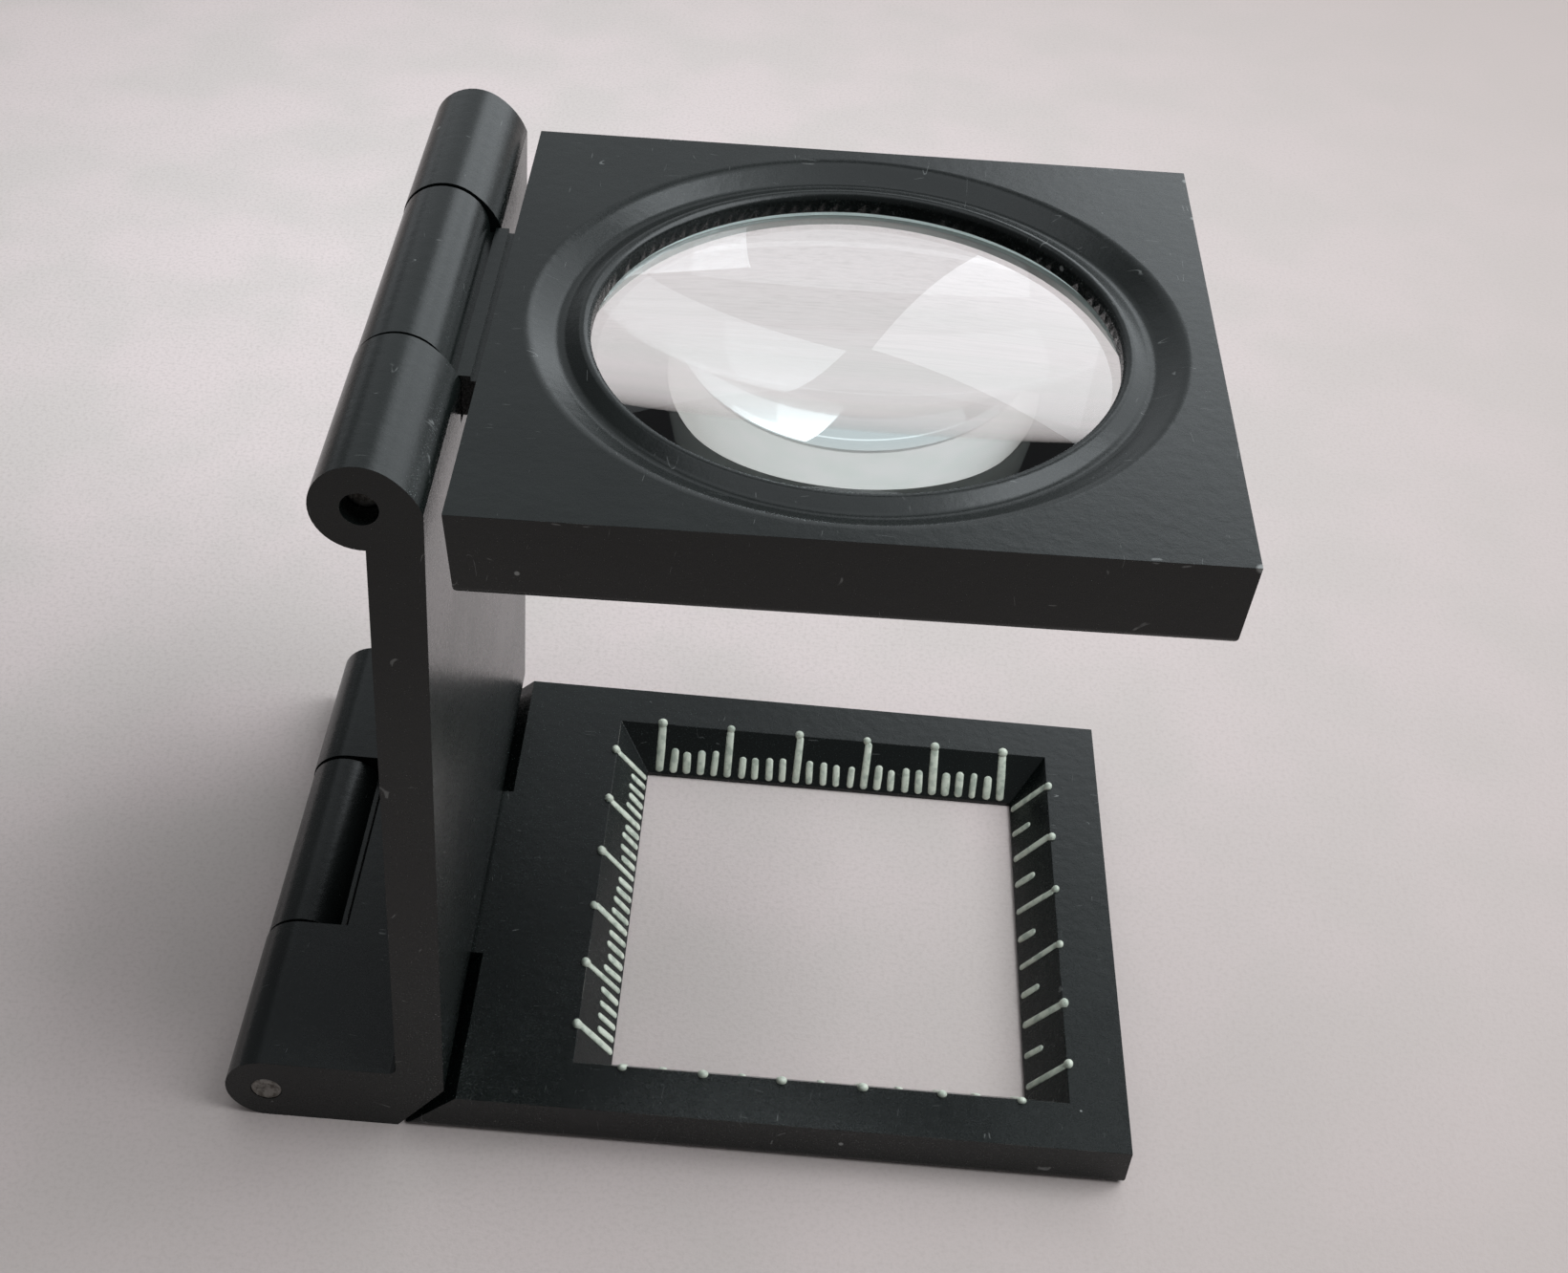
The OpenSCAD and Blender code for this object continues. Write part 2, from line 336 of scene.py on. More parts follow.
@dataclass(frozen=True)
class BlackPaint:
    """Semi-gloss baked black paint on a casting, bare to the metal along its edges, with two edge
    lines lightened the same way as painted highlights.
    """

    name: str = "baked_black"
    slot: str = "black_paint"
    colour: Colour = (0.0042, 0.0060, 0.0055)
    faded: Colour = (0.0068, 0.0092, 0.0084)
    bare: Colour = (0.30, 0.285, 0.255)
    dust: Colour = (0.33, 0.34, 0.33)
    roughness: float = 0.27
    ior: float = 1.42
    cloud_size: float = 9.0
    grain_size: float = 0.16
    grain_depth: float = 0.0042
    peel_size: float = 0.75
    peel_depth: float = 0.011
    patch_size: float = 5.5
    patch_worn: Span = (0.44, 0.62)
    paint_depth: float = 0.012
    bare_share: float = 0.6
    scuff_share: float = 0.35
    chip_share: float = 0.75
    chip_spacing: float = 3.1
    chip_radius: float = 0.09
    chip_chance: float = 0.12
    # Larger single chips: the place of each and its radius.
    chipped: tuple[tuple[float, float, float, float], ...] = (
        (25.37, -19.0, 49.40, 0.32),
        (25.36, 18.0, 49.40, 0.20),
        (25.36, 13.6, 49.40, 0.16),
        (17.49, 8.53, 48.23, 0.16),
        (-10.07, -18.80, 44.88, 0.13),
        (9.95, -19.0, 1.73, 0.14),
        (-14.48, -5.89, 6.80, 0.12),
        (-19.14, 14.88, 50.01, 0.14),
    )

    def material(self) -> bpy.types.Material:
        """Builds the finish's material."""
        sheet = Sheet(self.name)
        place = sheet.place()
        cloud = sheet.noise(self.cloud_size, place, detail=3.0)
        grain = sheet.noise(self.grain_size, place, detail=2.0)
        peel = sheet.noise(self.peel_size, place, detail=1.0)
        worn_and_highlit = self._worn_and_highlit(sheet, place, grain)
        chips = self._chips(sheet, place)
        scuffs = self._scuffs(sheet)
        colour = sheet.blend(cloud.between(0.35, 0.7), self.colour, self.faded)
        colour = sheet.blend(scuffs * self.scuff_share, colour, self.dust)
        colour = sheet.blend(chips * self.chip_share, colour, self.dust)
        # Bare metal along the edges; on the web's and the tongue's edges the same light line is a
        # painted highlight.
        colour = sheet.blend(self.bare_share * worn_and_highlit, colour, self.bare)
        rough = self.roughness + 0.10 * (grain - 0.5) + 0.08 * (cloud - 0.5)
        rough = rough + 0.12 * worn_and_highlit + 0.25 * chips
        normal = sheet.relief(peel, self.peel_depth)
        normal = sheet.relief(grain, self.grain_depth, normal)
        normal = sheet.relief(1.0 - worn_and_highlit, self.paint_depth, normal)
        return sheet.surface(
            {
                "Base Color": colour,
                "Metallic": 0.7 * worn_and_highlit,
                "Roughness": rough,
                "IOR": self.ior,
                "Normal": normal,
            }
        )

    def _worn_and_highlit(self, sheet: Sheet, place: Wire, grain: Wire) -> Wire:
        """Where the paint is gone from its edges, in patches or, on a listed edge, throughout; on
        the web's and the tongue's edges this light line is a painted highlight.

        Args:
            sheet: The sheet that it is drawn on.
            place: The coordinates that it is drawn on.
            grain: The paint's fine grain, which frays the light line.

        Returns:
            1 on bare metal and on the painted highlight lines, and 0 on whole paint.
        """
        patch = sheet.noise(self.patch_size, place, detail=4.0, rough=0.62)
        line = sheet.attribute(WEAR_AND_HIGHLIGHT_LAYER)
        worn_and_highlit = (line.at_most(1.0) * (0.55 + 0.9 * grain)).between(0.62, 0.98)
        return worn_and_highlit * patch.between(*self.patch_worn).at_least(line - 1.0)

    def _chips(self, sheet: Sheet, place: Wire) -> Wire:
        """Small chips at random places, and the larger ones at their own places."""
        chips = sheet.specks(self.chip_spacing, self.chip_radius, self.chip_chance, place)
        for x, y, z, radius in self.chipped:
            chips = chips.at_least(sheet.spot(sheet.distance((x, y, z), place), radius * MM))
        return chips

    @staticmethod
    def _scuffs(sheet: Sheet) -> Wire:
        """Fine hair scratches in two directions, few and short."""
        scuffs: Wire | None = None
        for stretch, shift in (((1.0, 0.12, 0.2), 0.0), ((0.15, 1.0, 0.3), 0.013)):
            place = sheet.place(stretch, (shift, shift, shift))
            level = sheet.noise(1.1, place, detail=0.0) - 0.5
            hair = level.at_least(0.0 - level).between(0.0055, 0.0025)
            kept = sheet.noise(1.3, sheet.place(shift=(0.0, shift, 0.0))).between(0.63, 0.70)
            hair = hair * kept
            scuffs = hair if scuffs is None else scuffs.at_least(hair)
        return scuffs


@dataclass(frozen=True)
class CutSteel:
    """Dull steel wire, cut off and left rough at its ends."""

    name: str = "cut_wire"
    slot: str = "hinge_steel"
    colour: Colour = (0.27, 0.26, 0.24)
    stained: Colour = (0.12, 0.11, 0.095)

    def material(self) -> bpy.types.Material:
        """Builds the finish's material."""
        sheet = Sheet(self.name)
        place = sheet.place()
        stain = sheet.noise(0.5, place, detail=4.0, rough=0.65)
        burr = sheet.noise(0.12, sheet.place((1.0, 1.0, 0.25)), detail=3.0)
        normal = sheet.relief(burr, 0.05)
        return sheet.surface(
            {
                "Base Color": sheet.blend(stain.between(0.42, 0.62), self.colour, self.stained),
                "Metallic": 0.85,
                "Roughness": 0.42 + 0.25 * stain,
                "Normal": normal,
            }
        )


@dataclass(frozen=True)
class TurnedRing:
    """Bright bare metal, left as it was turned."""

    name: str = "turned_ring"
    slot: str = "hinge_steel"
    colour: Colour = (0.70, 0.73, 0.71)

    def material(self) -> bpy.types.Material:
        """Builds the finish's material."""
        sheet = Sheet(self.name)
        return sheet.surface(
            {"Base Color": (*self.colour, 1.0), "Metallic": 0.6, "Roughness": 0.45}
        )


@dataclass(frozen=True)
class IvoryEnamel:
    """Thick ivory enamel, laid on by hand in beads."""

    name: str = "ivory_enamel"
    slot: str = "scale_enamel"
    colour: Colour = (0.66, 0.70, 0.59)
    thin: Colour = (0.42, 0.47, 0.39)

    def material(self) -> bpy.types.Material:
        """Builds the finish's material."""
        sheet = Sheet(self.name)
        place = sheet.place()
        body = sheet.noise(0.55, place, detail=3.0)
        pits = sheet.noise(0.14, place, detail=2.0)
        return sheet.surface(
            {
                "Base Color": sheet.blend(body.between(0.42, 0.66), self.colour, self.thin),
                "Roughness": 0.34 + 0.2 * (pits - 0.5),
                "Normal": sheet.relief(pits, 0.012),
            }
        )


@dataclass(frozen=True)
class ClearGlass:
    """Polished crown glass, faintly green through its thickness, with a ground rim that glows a
    little as painted light.
    """

    name: str = "crown_glass"
    slot: str = "lens_glass"
    tint: Colour = (0.86, 0.985, 0.965)
    density: float = 30.0
    ior: float = 1.52
    frost_and_glow: Colour = (0.80, 0.90, 0.89)
    painted_glow: float = 0.25
    coating: float = 0.2

    def material(self) -> bpy.types.Material:
        """Builds the finish's material."""
        sheet = Sheet(self.name)
        body = sheet.node(
            "ShaderNodeVolumeAbsorption", {}, {"Color": (*self.tint, 1.0), "Density": self.density}
        )
        sheet.tree.links.new(body.outputs[0], sheet.output.inputs["Volume"])
        polished = sheet.shader(
            {
                "Base Color": (1.0, 1.0, 1.0, 1.0),
                "Roughness": 0.0,
                "IOR": self.ior,
                "Transmission Weight": 1.0,
                "Specular IOR Level": self.coating,
            }
        )
        # The ground rim: matte glass that also glows, a painted glow that brightens both ends of the
        # lens.
        ground = sheet.shader(
            {
                "Base Color": (*self.frost_and_glow, 1.0),
                "Roughness": 0.9,
                "Emission Color": (*self.frost_and_glow, 1.0),
                "Emission Strength": self.painted_glow,
            }
        )
        edge = sheet.attribute(GROUND_LAYER).between(0.9, 0.98)
        mixed = sheet.node("ShaderNodeMixShader", {}, {0: edge, 1: polished, 2: ground})
        return sheet.finished(mixed.outputs[0])


@dataclass(frozen=True)
class PaperFloor:
    """Off-white drawing paper, faintly mottled, with painted shade that makes it darker away from a
    lit middle.
    """

    name: str = "paper_floor"
    colour: Colour = (0.845, 0.735, 0.720)
    shade: Colour = (0.765, 0.695, 0.665)
    # The colour of the darker fibres, and also of the painted shade towards the floor's edges.
    edge: Colour = (0.455, 0.385, 0.360)
    # The lit middle of the floor, and the distances from it over which the painted shade sets in and
    # reaches full strength, in millimetres.
    middle: Triple = (-35.0, 75.0, 0.0)
    darkens: Span = (-30.0, 190.0)

    def material(self) -> bpy.types.Material:
        """Builds the finish's material."""
        sheet = Sheet(self.name)
        place = sheet.place()
        mottle = sheet.noise(14.0, place, detail=4.0)
        fibre = sheet.noise(0.32, place, detail=2.0, rough=0.7)
        colour = sheet.blend(mottle.between(0.35, 0.65), self.colour, self.shade)
        # Painted shade: darker with distance from the lit middle, standing in for light falling off.
        start, end = self.darkens
        away = sheet.distance(self.middle, place).between(start * MM, end * MM)
        colour = sheet.blend(away, colour, self.edge)
        return sheet.surface(
            {
                "Base Color": sheet.blend(fibre.between(0.42, 0.72) * 0.3, colour, self.edge),
                "Roughness": 0.85,
                "Normal": sheet.relief(fibre, 0.02),
            }
        )


@dataclass(frozen=True)
class Coat:
    """A finish as it is laid on a piece: its material and the record's slot that it fills."""

    material: bpy.types.Material
    slot: str


@dataclass(frozen=True)
class Paints:
    """The coats of the whole object, one for each finish."""

    black: Coat
    steel: Coat
    ring: Coat
    enamel: Coat
    glass: Coat

    @classmethod
    def mixed(cls) -> "Paints":
        """Builds each finish once."""
        finishes = (BlackPaint(), CutSteel(), TurnedRing(), IvoryEnamel(), ClearGlass())
        return cls(*(Coat(finish.material(), finish.slot) for finish in finishes))


# ---- mesh work ----


def into_scene(name: str, data: bpy.types.ID) -> bpy.types.Object:
    """Makes an object of a mesh, light or camera and links it to the scene."""
    made = bpy.data.objects.new(name, data)
    bpy.context.scene.collection.objects.link(made)
    return made


def towards(heading: float, lift: float) -> Vector:
    """The unit vector at a heading from +Y towards +X and an angle above the floor, in degrees."""
    heading, lift = math.radians(heading), math.radians(lift)
    level = math.cos(lift)
    return Vector((math.sin(heading) * level, math.cos(heading) * level, math.sin(lift)))


def bevel(
    bm: bmesh.types.BMesh, edges: list[bmesh.types.BMEdge], width: float
) -> dict[str, list[bmesh.types.BMVert | bmesh.types.BMFace]]:
    """Rounds edges of a mesh.

    Args:
        bm: The mesh.
        edges: The edges to round.
        width: How far the rounding reaches from each edge, in millimetres.

    Returns:
        The new points and faces, under "verts" and "faces".
    """
    return bmesh.ops.bevel(
        bm,
        geom=edges,
        offset=width * MM,
        offset_type="OFFSET",
        segments=2,
        profile=0.5,
        affect="EDGES",
        clamp_overlap=True,
        material=-1,
    )


def sharp_edges(bm: bmesh.types.BMesh, angle: float) -> list[bmesh.types.BMEdge]:
    """The edges at which the faces meet at more than an angle, in degrees."""
    limit = math.radians(angle)
    return [e for e in bm.edges if e.is_manifold and e.calc_face_angle() > limit]


def place_piece(
    name: str, bm: bmesh.types.BMesh, coat: Coat, body: str, nodes: Iterable[str]
) -> bpy.types.Object:
    """Turns a bmesh into a smooth piece that rides on a body and stands for CAD nodes.

    Args:
        name: The piece's name.
        bm: Its mesh, already in place; it is freed here.
        coat: Its finish.
        body: The CAD body that it moves with.
        nodes: The CAD nodes that it is shown instead of.

    Returns:
        The new object.
    """
    for face in bm.faces:
        face.smooth = True
    mesh = bpy.data.meshes.new(name)
    bm.to_mesh(mesh)
    bm.free()
    mesh.materials.append(coat.material)
    piece = into_scene(name, mesh)
    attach(piece, body)
    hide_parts(*nodes)
    LOG.info("%s: %d faces, rides on %s", name, len(mesh.polygons), body)
    return piece


def even_normals(piece: bpy.types.Object, weight: int = 60) -> None:
    """Keeps a piece's flat faces flat in the shading, whatever narrow faces meet them."""
    weighted = piece.modifiers.new("weighted_normals", "WEIGHTED_NORMAL")
    weighted.mode = "FACE_AREA"
    weighted.weight = weight
    weighted.keep_sharp = True


@dataclass(frozen=True)
class WornAndHighlitEdges:
    """A box in which all the edges are lightened to bare metal, and how much; on the web's and the
    tongue's edges this is a painted highlight.
    """

    low: Triple
    high: Triple
    amount: float

    def holds(self, place: Vector) -> bool:
        """Whether a point of a mesh lies in the box."""
        ends = zip(self.low, place, self.high)
        return all(low * MM <= at <= high * MM for low, at, high in ends)


@dataclass
class Casting:
    """A die-cast and painted plate: the CAD node's own shape with its edges softened."""

    node: str
    body: str
    piece: str
    rubbed_and_highlit: tuple[WornAndHighlitEdges, ...] = ()
    edge: float = 0.13
    weld: float = 0.0005
    flattest: float = 0.3
    sharpest: float = 28.0
    step: float = 0.8
    crest_wear: Span = (0.7, 1.0)
    dent: float = 0.035
    nick: float = 0.2
    nicked: float = 0.03
    seed: int = 3

    def build(self, nodes: dict[str, bpy.types.Object], coat: Coat) -> bpy.types.Object:
        """Makes the piece from a merged copy of the CAD mesh.

        Args:
            nodes: The CAD nodes by name.
            coat: The piece's finish.

        Returns:
            The finished piece.
        """
        bm = self._merged_copy(nodes[self.node])
        self._soften_edges(bm)
        piece = place_piece(self.piece, bm, coat, self.body, [self.node])
        even_normals(piece)
        return piece

    def _merged_copy(self, node: bpy.types.Object) -> bmesh.types.BMesh:
        """Copies a CAD mesh, joins its loose triangles and dissolves its flat faces."""
        bm = bmesh.new()
        bm.from_mesh(node.data)
        bmesh.ops.remove_doubles(bm, verts=bm.verts, dist=self.weld * MM)
        bmesh.ops.dissolve_limit(
            bm, angle_limit=math.radians(self.flattest), verts=bm.verts, edges=bm.edges
        )
        return bm

    def _soften_edges(self, bm: bmesh.types.BMesh) -> None:
        """Bevels the sharp edges and marks the crests of the outer ones for wear, and for painted
        highlights inside the listed boxes.
        """
        wear = bm.verts.layers.float.new(WEAR_AND_HIGHLIGHT_LAYER)
        self._divide(bm, sharp_edges(bm, self.sharpest))
        chance = random.Random(self.seed)
        made = bevel(bm, sharp_edges(bm, self.sharpest), self.edge)
        bm.normal_update()
        strip = set(made["faces"])
        for vert in made["verts"]:
            if all(face in strip for face in vert.link_faces) and self._stands_out(vert):
                wear_and_highlight_amounts = [edge_box.amount for edge_box in self.rubbed_and_highlit if edge_box.holds(vert.co)]
                vert[wear] = 1.0 + max(wear_and_highlight_amounts) if wear_and_highlight_amounts else chance.uniform(*self.crest_wear)
                depth = self.nick if chance.random() < self.nicked else self.dent
                vert.co -= vert.normal * chance.uniform(0.0, depth) * MM

    @staticmethod
    def _stands_out(vert: bmesh.types.BMVert) -> bool:
        """Whether a point lies on an outer edge, with its neighbours below it."""
        return sum((e.other_vert(vert).co - vert.co).dot(vert.normal) for e in vert.link_edges) < 0

    def _divide(self, bm: bmesh.types.BMesh, edges: list[bmesh.types.BMEdge]) -> None:
        """Splits long straight edges into short steps, so that they can be dented."""
        for edge in edges:
            cuts = int(edge.calc_length() / (self.step * MM))
            if cuts > 0:
                bmesh.ops.subdivide_edges(bm, edges=[edge], cuts=cuts)


# ---- the base's scale ----


@dataclass
class WindowScale:
    """The four scales of raised enamel beads on the bevels round the window."""

    window: float = 26.6
    bevel_run: float = 2.25
    lip: float = 0.3
    base_t: float = 3.1
    length: float = 25.0
    long_step: float = 5.0
    bead_w: float = 0.57
    bead_h: float = 0.24
    bead_start: float = 0.1
    bead_short: float = 0.12
    bead_sides: int = 12
    bead_rings: int = 8
    swell: float = 0.10
    blob_d: float = 0.66
    blob_share: float = 0.8
    blob_out: float = 0.08
    short_share: float = 0.52
    # How far the hand strays: along the scale, in degrees, and in the beads' skin.
    stray: float = 0.05
    blob_stray: float = 0.04
    sway: float = 2.5
    rough: float = 0.03
    first_seed: int = 11
    sides: dict[Side, Grade] = field(
        default_factory=lambda: {
            Side.FAR: Grade.FINE,
            Side.LEFT: Grade.FINE,
            Side.NEAR: Grade.COARSE,
            Side.RIGHT: Grade.COARSE,
        }
    )

    def build(self, paints: Paints) -> list[bpy.types.Object]:
        """Makes one piece of beads for each side of the window."""
        low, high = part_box("scale_marks_far")
        centre = Vector(((low.x + high.x) / 2, 0.0, 0.0))
        pieces = []
        for seed, (side, grade) in enumerate(self.sides.items()):
            turn = Matrix.Translation(centre) @ Matrix.Rotation(math.radians(side.value), 4, "Z")
            bm = self._scale(grade, random.Random(seed + self.first_seed))
            bmesh.ops.transform(bm, matrix=turn, verts=bm.verts)
            name = side.name.lower()
            nodes = [f"scale_marks_{name}"]
            pieces.append(place_piece(f"scale_beads_{name}", bm, paints.enamel, "base", nodes))
        return pieces

    def _scale(self, grade: Grade, chance: random.Random) -> bmesh.types.BMesh:
        """Lays the beads of one scale on the far bevel.

        Args:
            grade: How closely the scale is divided.
            chance: The source of the hand's unevenness.

        Returns:
            The beads, in place for the far side.
        """
        bm = bmesh.new()
        rise = self.base_t - self.lip
        slope = math.hypot(self.bevel_run, rise)
        tip = math.atan2(rise, self.bevel_run)
        foot = Vector((0.0, self.window / 2, self.lip))
        lean = Matrix.Rotation(tip - math.pi / 2, 4, "X")
        count = round(self.length / grade.value)
        for index in range(count + 1):
            along = index * grade.value - self.length / 2
            is_long = abs(math.remainder(index * grade.value, self.long_step)) < 0.01
            reach = slope if is_long else slope * (self.short_share + chance.uniform(-0.05, 0.04))
            run = reach - self.bead_short
            sway = Matrix.Rotation(math.radians(chance.uniform(-self.sway, self.sway)), 4, "Y")
            stray = chance.uniform(-self.stray, self.stray)
            at = Matrix.Translation(foot + Vector((along + stray, 0, 0)))
            middle = Matrix.Translation((0, 0, self.bead_start + run / 2))
            width = self.bead_w * chance.uniform(0.86, 1.12)
            self._bead(bm, at @ lean @ sway @ middle, width, self.bead_h, run, chance)
            if is_long:
                blob = self.blob_d * chance.uniform(0.85, 1.1)
                stray = chance.uniform(-self.blob_stray, self.blob_stray)
                crest = self.window / 2 + self.bevel_run
                top = Matrix.Translation((along + stray, crest + self.blob_out, self.base_t))
                self._bead(bm, top @ lean, blob, self.blob_share * blob, blob, chance)
        return bm

    def _bead(
        self,
        bm: bmesh.types.BMesh,
        place: Matrix,
        width: float,
        height: float,
        run: float,
        chance: random.Random,
    ) -> None:
        """Adds one round-ended bead.

        Args:
            bm: The mesh that it is added to.
            place: Its middle and its turn, in millimetres, with its length along local Z.
            width: Its width across the scale.
            height: Its full thickness, half of which is sunk.
            run: Its length.
            chance: The source of its unevenness.
        """
        ball = bmesh.ops.create_uvsphere(
            bm, u_segments=self.bead_sides, v_segments=self.bead_rings, radius=width / 2
        )["verts"]
        stretch = max(0.0, run - width) / 2
        for vert in ball:
            level = vert.co.z
            swell = 1 + chance.uniform(-self.rough, self.rough) + self.swell * abs(level) / width
            vert.co.x *= swell
            vert.co.y *= swell * height / width
            if abs(level) > 0.01 * width:
                vert.co.z += math.copysign(stretch, level)
        bmesh.ops.transform(bm, matrix=Matrix.Scale(MM, 4) @ place, verts=ball)


# ---- hinge pins ----


@dataclass
class HingePin:
    """A length of steel wire, cut off square, with its cut ends a little rough."""

    node: str
    burr: float = 0.05
    chamfer: float = 0.12
    facets: int = 48
    end_rings: int = 3
    end_ring_w: float = 0.22
    sharpest: float = 60.0
    seed: int = 5

    def build(self, paints: Paints) -> bpy.types.Object:
        """Makes the pin along Y in its CAD node's place."""
        low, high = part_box(self.node)
        middle = (low + high) / 2
        length = high.y - low.y
        radius = (high.x - low.x) / 2
        bm = bmesh.new()
        bmesh.ops.create_cone(
            bm,
            cap_ends=True,
            cap_tris=False,
            segments=self.facets,
            radius1=radius,
            radius2=radius,
            depth=length,
        )
        bevel(bm, sharp_edges(bm, self.sharpest), self.chamfer)
        self._rough_ends(bm)
        turn = Matrix.Rotation(math.radians(90), 4, "X")
        bmesh.ops.transform(bm, matrix=Matrix.Translation(middle) @ turn, verts=bm.verts)
        return place_piece(self.node + "_wire", bm, paints.steel, "stand", [self.node])

    def _rough_ends(self, bm: bmesh.types.BMesh) -> None:
        """Insets both end faces in rings and sinks their points unevenly."""
        chance = random.Random(self.seed)
        caps = [f for f in bm.faces if len(f.verts) == self.facets]
        width = self.end_ring_w * MM
        for _ in range(self.end_rings):
            bmesh.ops.inset_individual(bm, faces=caps, thickness=width, use_even_offset=True)
            for vert in (v for cap in caps for v in cap.verts):
                inward = -math.copysign(1.0, vert.co.z)
                vert.co.z += inward * chance.uniform(0.0, self.burr) * MM
        bmesh.ops.poke(bm, faces=caps)


# ---- lens and its ring ----


@dataclass
class Lens:
    """The biconvex lens, turned as one smooth solid."""

    node: str = "lens"
    tilt: float = 1.7
    centre_t: float = 4.9
    edge_t: float = 1.7
    chamfer: float = 0.06
    weld: float = 0.0001
    rings: int = 40
    turns: int = 144

    def build(self, paints: Paints) -> bpy.types.Object:
        """Spins half a lens section and sets it in the CAD lens's place."""
        low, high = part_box(self.node)
        radius = (high.y - low.y) / 2 / MM
        sag = (self.centre_t - self.edge_t) / 2
        curve = (radius**2 + sag**2) / (2 * sag)
        bm = bmesh.new()
        upper = [self._crown(curve, radius * step / self.rings) for step in range(self.rings)]
        rim = self.edge_t / 2
        edge = [
            Vector((radius - self.chamfer, 0.0, rim)),
            Vector((radius, 0.0, rim - self.chamfer)),
            Vector((radius, 0.0, self.chamfer - rim)),
            Vector((radius - self.chamfer, 0.0, -rim)),
        ]
        lower = [Vector((point.x, 0.0, -point.z)) for point in reversed(upper)]
        ground = bm.verts.layers.float.new(GROUND_LAYER)
        verts = [bm.verts.new(point) for point in upper + edge + lower]
        for vert in verts[len(upper) : len(upper) + len(edge)]:
            vert[ground] = 1.0
        edges = [bm.edges.new(pair) for pair in zip(verts, verts[1:])]
        bmesh.ops.spin(
            bm,
            geom=verts + edges,
            cent=(0, 0, 0),
            axis=(0, 0, 1),
            angle=math.tau,
            steps=self.turns,
            use_merge=True,
        )
        bmesh.ops.remove_doubles(bm, verts=bm.verts, dist=self.weld)
        bmesh.ops.recalc_face_normals(bm, faces=bm.faces)
        lean = Matrix.Rotation(math.radians(-self.tilt), 4, "Y")
        place = Matrix.Translation((low + high) / 2) @ lean @ Matrix.Scale(MM, 4)
        bmesh.ops.transform(bm, matrix=place, verts=bm.verts)
        return place_piece("lens_glass_element", bm, paints.glass, "lens_plate", [self.node])

    def _crown(self, curve: float, out: float) -> Vector:
        """A point of the lens's upper face, of radius curve, at a distance out from the axis."""
        fall = curve - math.sqrt(curve**2 - out**2)
        return Vector((out, 0.0, self.centre_t / 2 - fall))


# ---- the place where it stands ----


@dataclass(frozen=True)
class Softbox:
    """A rectangular soft light that faces the object, at a heading and a lift in degrees."""

    name: str
    heading: float
    lift: float
    distance: float
    width: float
    height: float
    glow: float
    colour: Colour = (0.90, 0.96, 1.0)

    def build(self) -> None:
        """Hangs the light at its distance and gives it power for its glow and size."""
        out = towards(self.heading, self.lift)
        data = bpy.data.lights.new(self.name, "AREA")
        data.shape = "RECTANGLE"
        data.size, data.size_y = self.width * MM, self.height * MM
        data.energy = self.glow * math.pi * data.size * data.size_y
        data.color = self.colour
        lamp = into_scene(self.name, data)
        lamp.location = out * self.distance * MM
        lamp.rotation_euler = (-out).to_track_quat("-Z", "Y").to_euler()


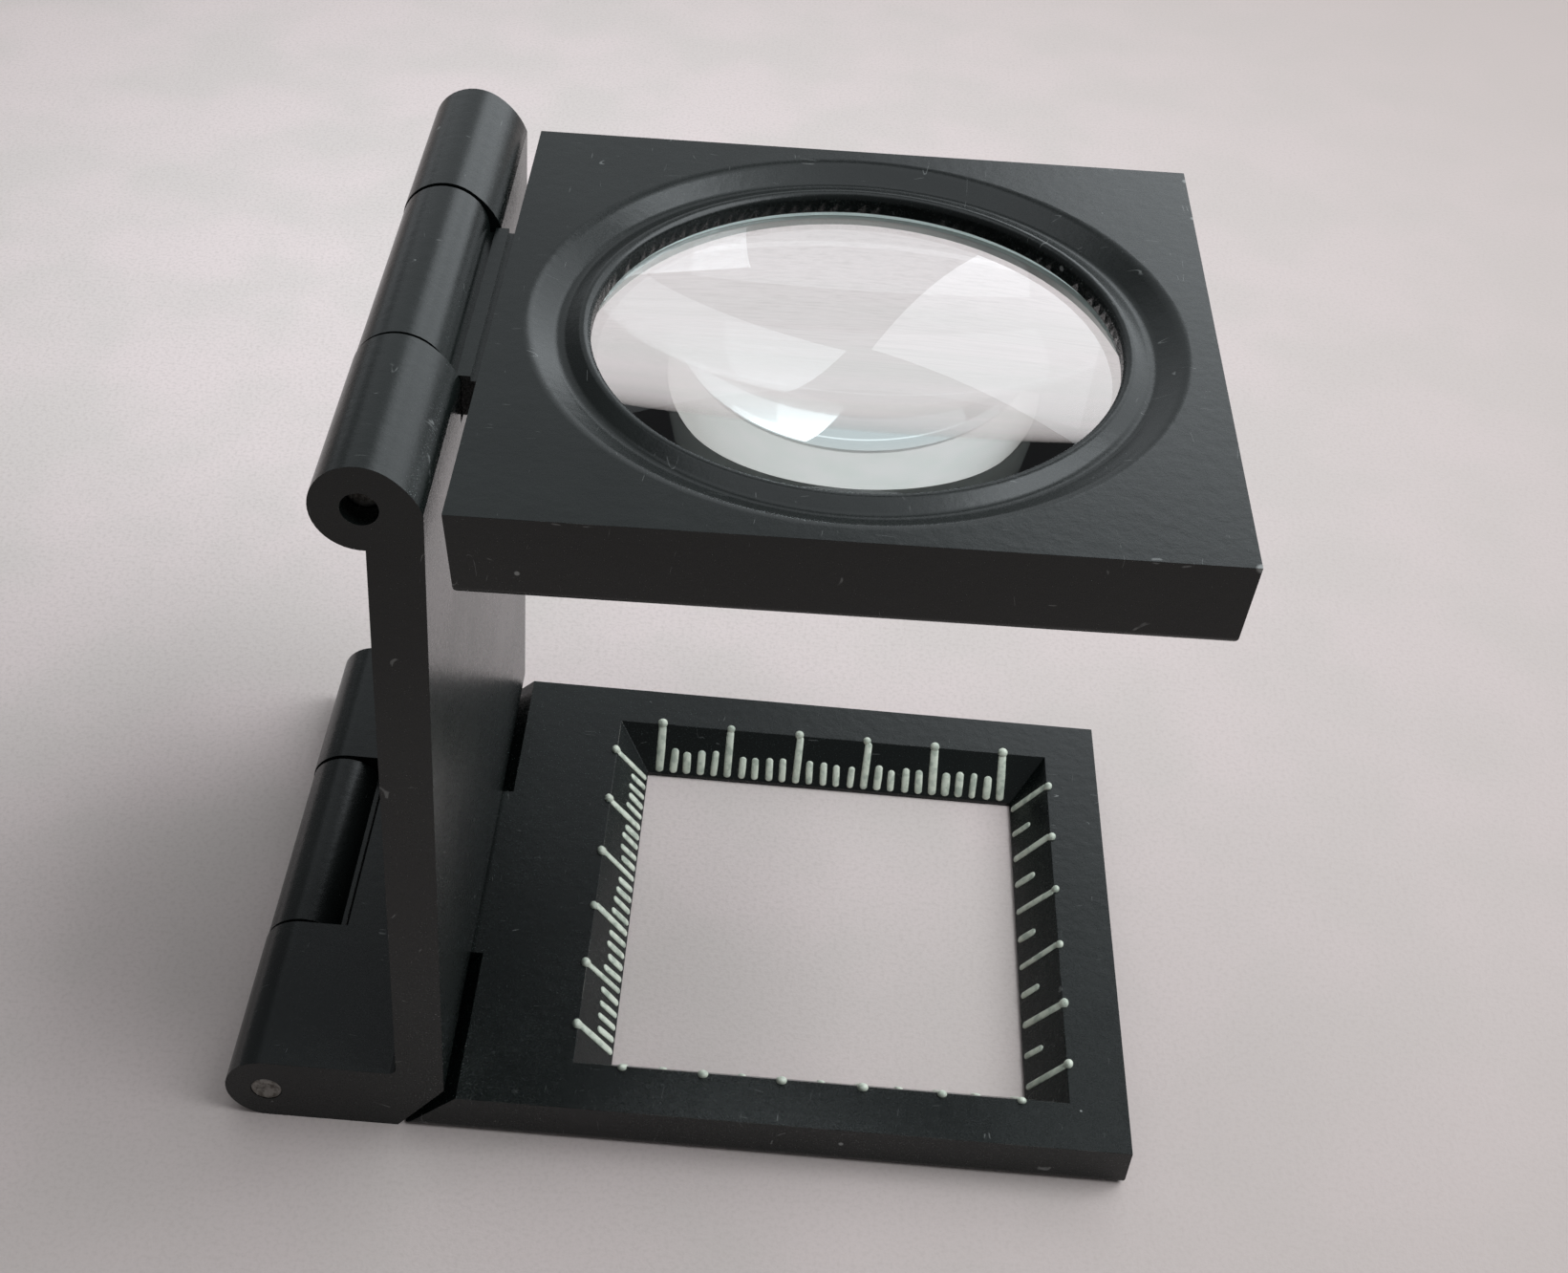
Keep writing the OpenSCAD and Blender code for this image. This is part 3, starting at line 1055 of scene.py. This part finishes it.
@dataclass
class Studio:
    """The paper floor, the soft lights and the camera."""

    camera_at: Triple = (0.649, -99.661, 112.441)
    heading: float = 1.749
    dip: float = 40.909
    roll: float = 6.164
    focal: float = 49.834
    sensor: float = 36.0
    nearest: float = 10.0
    floor_size: float = 2400.0
    softboxes: tuple[Softbox, ...] = (
        Softbox("window", heading=38, lift=28, distance=620, width=640, height=400, glow=1.5),
        Softbox("far_wall", heading=-5, lift=32, distance=900, width=760, height=460, glow=0.48),
        Softbox("skyline", heading=-4, lift=11, distance=940, width=1300, height=260, glow=0.45),
        Softbox("side_window", heading=86, lift=50, distance=620, width=520, height=480, glow=4.2),
        Softbox("ceiling", heading=0, lift=80, distance=620, width=620, height=420, glow=1.3),
    )
    sky: Colour = (0.93, 0.96, 1.0)
    sky_strength: float = 0.17

    def build(self) -> None:
        """Makes the floor, the lights and the camera."""
        self._floor()
        self._sky()
        for box in self.softboxes:
            box.build()
        self._camera()

    def _floor(self) -> None:
        """A large sheet of paper under the object."""
        bm = bmesh.new()
        bmesh.ops.create_grid(bm, x_segments=2, y_segments=2, size=self.floor_size * MM / 2)
        mesh = bpy.data.meshes.new("floor")
        bm.to_mesh(mesh)
        bm.free()
        mesh.materials.append(PaperFloor().material())
        floor = into_scene("floor", mesh)

    def _sky(self) -> None:
        """An even, dim light from everywhere."""
        world = bpy.data.worlds.new("soft_room")
        world.use_nodes = True
        back = world.node_tree.nodes["Background"]
        back.inputs["Color"].default_value = (*self.sky, 1.0)
        back.inputs["Strength"].default_value = self.sky_strength
        bpy.context.scene.world = world

    def _camera(self) -> None:
        """Adds the camera and makes it the scene's own."""
        data = bpy.data.cameras.new("camera")
        data.sensor_fit = "HORIZONTAL"
        data.sensor_width = self.sensor
        data.lens = self.focal
        data.clip_start = self.nearest * MM
        camera = into_scene("camera", data)
        ahead = towards(self.heading, -self.dip)
        turn = ahead.to_track_quat("-Z", "Y").to_matrix().to_4x4()
        roll = Matrix.Rotation(math.radians(self.roll), 4, "Z")
        camera.matrix_world = Matrix.Translation(Vector(self.camera_at) * MM) @ turn @ roll
        bpy.context.scene.camera = camera
        bpy.context.scene.view_settings.view_transform = "Standard"


def painted_castings() -> list[Casting]:
    """The three castings, each with the edges that hands and tables have scuffed bare, and two edges
    lightened as painted highlights.
    """
    upright_rubs = (
        # The near edge, on the window's side and on the outer side.
        WornAndHighlitEdges((-14.8, -19.1, 5.0), (-14.3, -18.7, 40.0), 0.6),
        WornAndHighlitEdges((-17.6, -19.1, 18.0), (-17.1, -18.7, 36.0), 0.45),
        # The foot's near top edge.
        WornAndHighlitEdges((-26.0, -19.1, 4.7), (-17.6, -18.7, 5.1), 0.5),
    )
    base_rubs_and_highlights = (
        # The tongue's edge at the middle knuckle: a painted highlight, drawn as a bare-metal line.
        WornAndHighlitEdges((-23.2, -7.5, 3.3), (-22.6, 7.5, 3.8), 0.7),
        # The crest of the window's bevel next to the upright.
        WornAndHighlitEdges((-7.3, -15.8, 2.9), (-6.7, 15.8, 3.2), 0.5),
        # The near top edge.
        WornAndHighlitEdges((-12.0, -19.1, 2.9), (27.9, -18.7, 3.2), 0.3),
    )
    plate_rubs_and_highlights = (
        # The edge where the web leaves the plate: a painted highlight, drawn as a bare-metal line.
        WornAndHighlitEdges((-15.3, -7.6, 47.7), (-13.4, 7.6, 49.0), 1.0),
        # The near top edge next to the hinge, and the top edge at the free end.
        WornAndHighlitEdges((-13.0, -19.1, 47.8), (8.0, -18.7, 49.5), 0.4),
        WornAndHighlitEdges((25.0, -19.1, 47.8), (25.6, 19.1, 49.6), 0.3),
    )
    return [
        Casting("upright", "stand", "upright_casting", upright_rubs),
        Casting("base_frame", "base", "base_casting", base_rubs_and_highlights),
        Casting("lens_frame", "lens_plate", "lens_plate_casting", plate_rubs_and_highlights),
    ]


def main() -> None:
    """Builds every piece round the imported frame."""
    logging.basicConfig(level=logging.INFO, format="%(name)s: %(message)s")
    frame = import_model()
    paints = Paints.mixed()
    for casting in painted_castings():
        casting.build(frame["nodes"], paints.black)
    ring = Casting("lens_retaining_ring", "lens_plate", "lens_ring", edge=0.08)
    ring.build(frame["nodes"], paints.ring)
    WindowScale().build(paints)
    for pin in (HingePin("upper_hinge_pin"), HingePin("lower_hinge_pin", seed=9)):
        pin.build(paints)
    Lens().build(paints)
    Studio().build()


if __name__ == "__main__":
    main()
